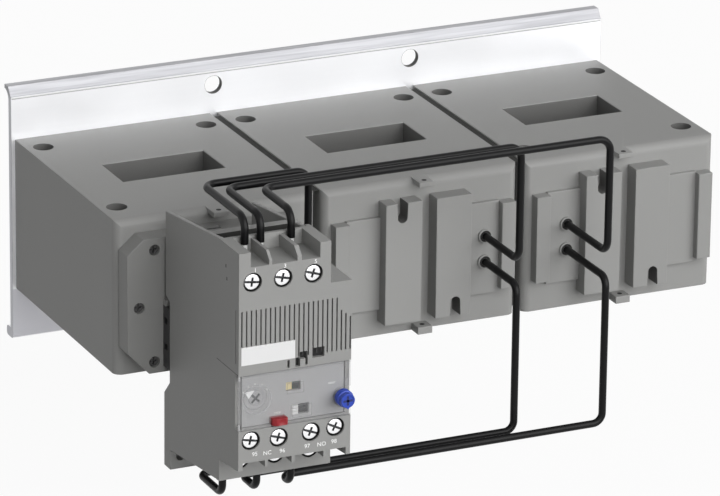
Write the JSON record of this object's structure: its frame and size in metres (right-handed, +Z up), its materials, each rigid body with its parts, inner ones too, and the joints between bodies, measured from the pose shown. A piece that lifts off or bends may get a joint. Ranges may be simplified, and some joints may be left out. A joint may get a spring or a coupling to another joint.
{
  "type": "overload relay",
  "caption": "Electronic overload relay with block current transformers on a mounting plate, formed leads, hinged clear cover, dial, push controls and slide switches.",
  "frame": {"origin": "centre of the plate's four fixing holes, on the back face of its web", "axes": "+X right along the plate, +Y back into the panel, +Z up"},
  "size_m": [0.255, 0.191, 0.1189],
  "materials": {
    "grey_housing": "fine matt moulding",
    "grey_adapter": "fine matt moulding",
    "dark_cover": "matt moulding",
    "black_plastic": "matt moulding",
    "aluminium": "extruded, lightly brushed",
    "core_steel": "laminated sheet",
    "winding_tape": "taped winding",
    "screw_steel": "zinc plated",
    "terminal_screw": "bright plated",
    "terminal_brass": "tinned brass",
    "bare_wire": "tinned copper",
    "lead_black": "smooth insulation",
    "tail_wire": "enamelled wire",
    "label_white": "smooth satin",
    "panel_grey": "fine matt moulding",
    "clear_cover": "clear moulding",
    "dial_grey": "fine matt moulding",
    "pointer_white": "printed",
    "knob_blue": "satin moulding",
    "button_red": "satin moulding",
    "flag_yellow": "matt moulding",
    "lever_white": "matt moulding",
    "board_green": "solder resist"
  },
  "bodies": {
    "frame": {"adapter_plate": "grey_adapter", "adapter_screws": "screw_steel", "aux_clamps": "terminal_brass", "aux_screws": "terminal_screw", "bottom_terminal_clamps": "terminal_brass", "bottom_terminal_screws": "terminal_screw", "carrier_block": "black_plastic", "circuit_board": "board_green", "control_panel": "panel_grey", "cover_hinge_pins": "screw_steel", "ct_base_1": "dark_cover", "ct_base_2": "dark_cover", "ct_base_3": "dark_cover", "ct_core_1": "core_steel", "ct_core_2": "core_steel", "ct_core_3": "core_steel", "ct_housing_1": "grey_housing", "ct_housing_2": "grey_housing", "ct_housing_3": "grey_housing", "ct_screws": "screw_steel", "ct_winding_1": "winding_tape", "ct_winding_2": "winding_tape", "ct_winding_3": "winding_tape", "dial_potentiometer": "black_plastic", "dip_switch_body": "black_plastic", "fixed_contacts": "terminal_brass", "label_plate": "label_white", "lead_bottom_1": "lead_black", "lead_bottom_2": "lead_black", "lead_bottom_3": "lead_black", "lead_ends": "bare_wire", "lead_grommets": "lead_black", "lead_top_1": "lead_black", "lead_top_2": "lead_black", "lead_top_3": "lead_black", "mounting_plate": "aluminium", "plate_screws": "screw_steel", "relay_base": "grey_housing", "relay_front": "grey_housing", "reset_spring": "screw_steel", "stop_spring": "screw_steel", "top_terminal_clamps": "terminal_brass", "top_terminal_screws": "terminal_screw", "trip_coil": "black_plastic", "winding_tails": "tail_wire"},
    "cover_leaf": {"cover": "clear_cover"},
    "dial": {"setting_dial": "dial_grey", "dial_pointer": "pointer_white"},
    "reset_slider": {"reset_stem": "knob_blue"},
    "reset_turner": {"reset_knob": "knob_blue"},
    "stop_slider": {"stop_button": "button_red"},
    "trip_slider": {"trip_indicator": "flag_yellow", "trip_plunger": "screw_steel"},
    "contact_slider": {"contact_carrier": "black_plastic", "moving_contacts": "terminal_brass"},
    "dip_slider_1": {"dip_lever_1": "lever_white"},
    "dip_slider_2": {"dip_lever_2": "lever_white"},
    "dip_slider_3": {"dip_lever_3": "lever_white"}
  },
  "joints": [
    {"name": "cover_hinge", "type": "hinge", "parent": "frame", "child": "cover_leaf", "pos_m": [-0.109, -0.1802, -0.0163], "axis": [0, 0, -1], "range_deg": [0, 110]},
    {"name": "dial_turn", "type": "hinge", "parent": "frame", "child": "dial", "pos_m": [-0.1024, -0.1792, -0.01545], "axis": [0, -1, 0], "range_deg": [-240, 30]},
    {"name": "reset_push", "type": "slide", "parent": "frame", "child": "reset_slider", "axis": [0, 1, 0], "range_m": [0, 0.0015], "stiffness_N_per_m": 400, "springref_m": -0.0005, "deforming": ["reset_spring"]},
    {"name": "reset_turn", "type": "hinge", "parent": "reset_slider", "child": "reset_turner", "pos_m": [-0.0683, -0.1835, -0.01935], "axis": [0, -1, 0], "range_deg": [-90, 0]},
    {"name": "stop_push", "type": "slide", "parent": "frame", "child": "stop_slider", "axis": [0, 1, 0], "range_m": [0, 0.0015], "stiffness_N_per_m": 400, "springref_m": -0.0005, "deforming": ["stop_spring"]},
    {"name": "trip_slide", "type": "slide", "parent": "frame", "child": "trip_slider", "axis": [1, 0, 0], "range_m": [0, 0.0029]},
    {"name": "contact_slide", "type": "slide", "parent": "frame", "child": "contact_slider", "axis": [0, 1, 0], "range_m": [0, 0.00145]},
    {"name": "dip_slide_1", "type": "slide", "parent": "frame", "child": "dip_slider_1", "axis": [1, 0, 0], "range_m": [0, 0.0041]},
    {"name": "dip_slide_2", "type": "slide", "parent": "frame", "child": "dip_slider_2", "axis": [1, 0, 0], "range_m": [0, 0.0041]},
    {"name": "dip_slide_3", "type": "slide", "parent": "frame", "child": "dip_slider_3", "axis": [1, 0, 0], "range_m": [0, 0.0041]}
  ],
  "couplings": [
    {"joint": "contact_slide", "follows": "trip_slide", "ratio": 0.5}
  ]
}
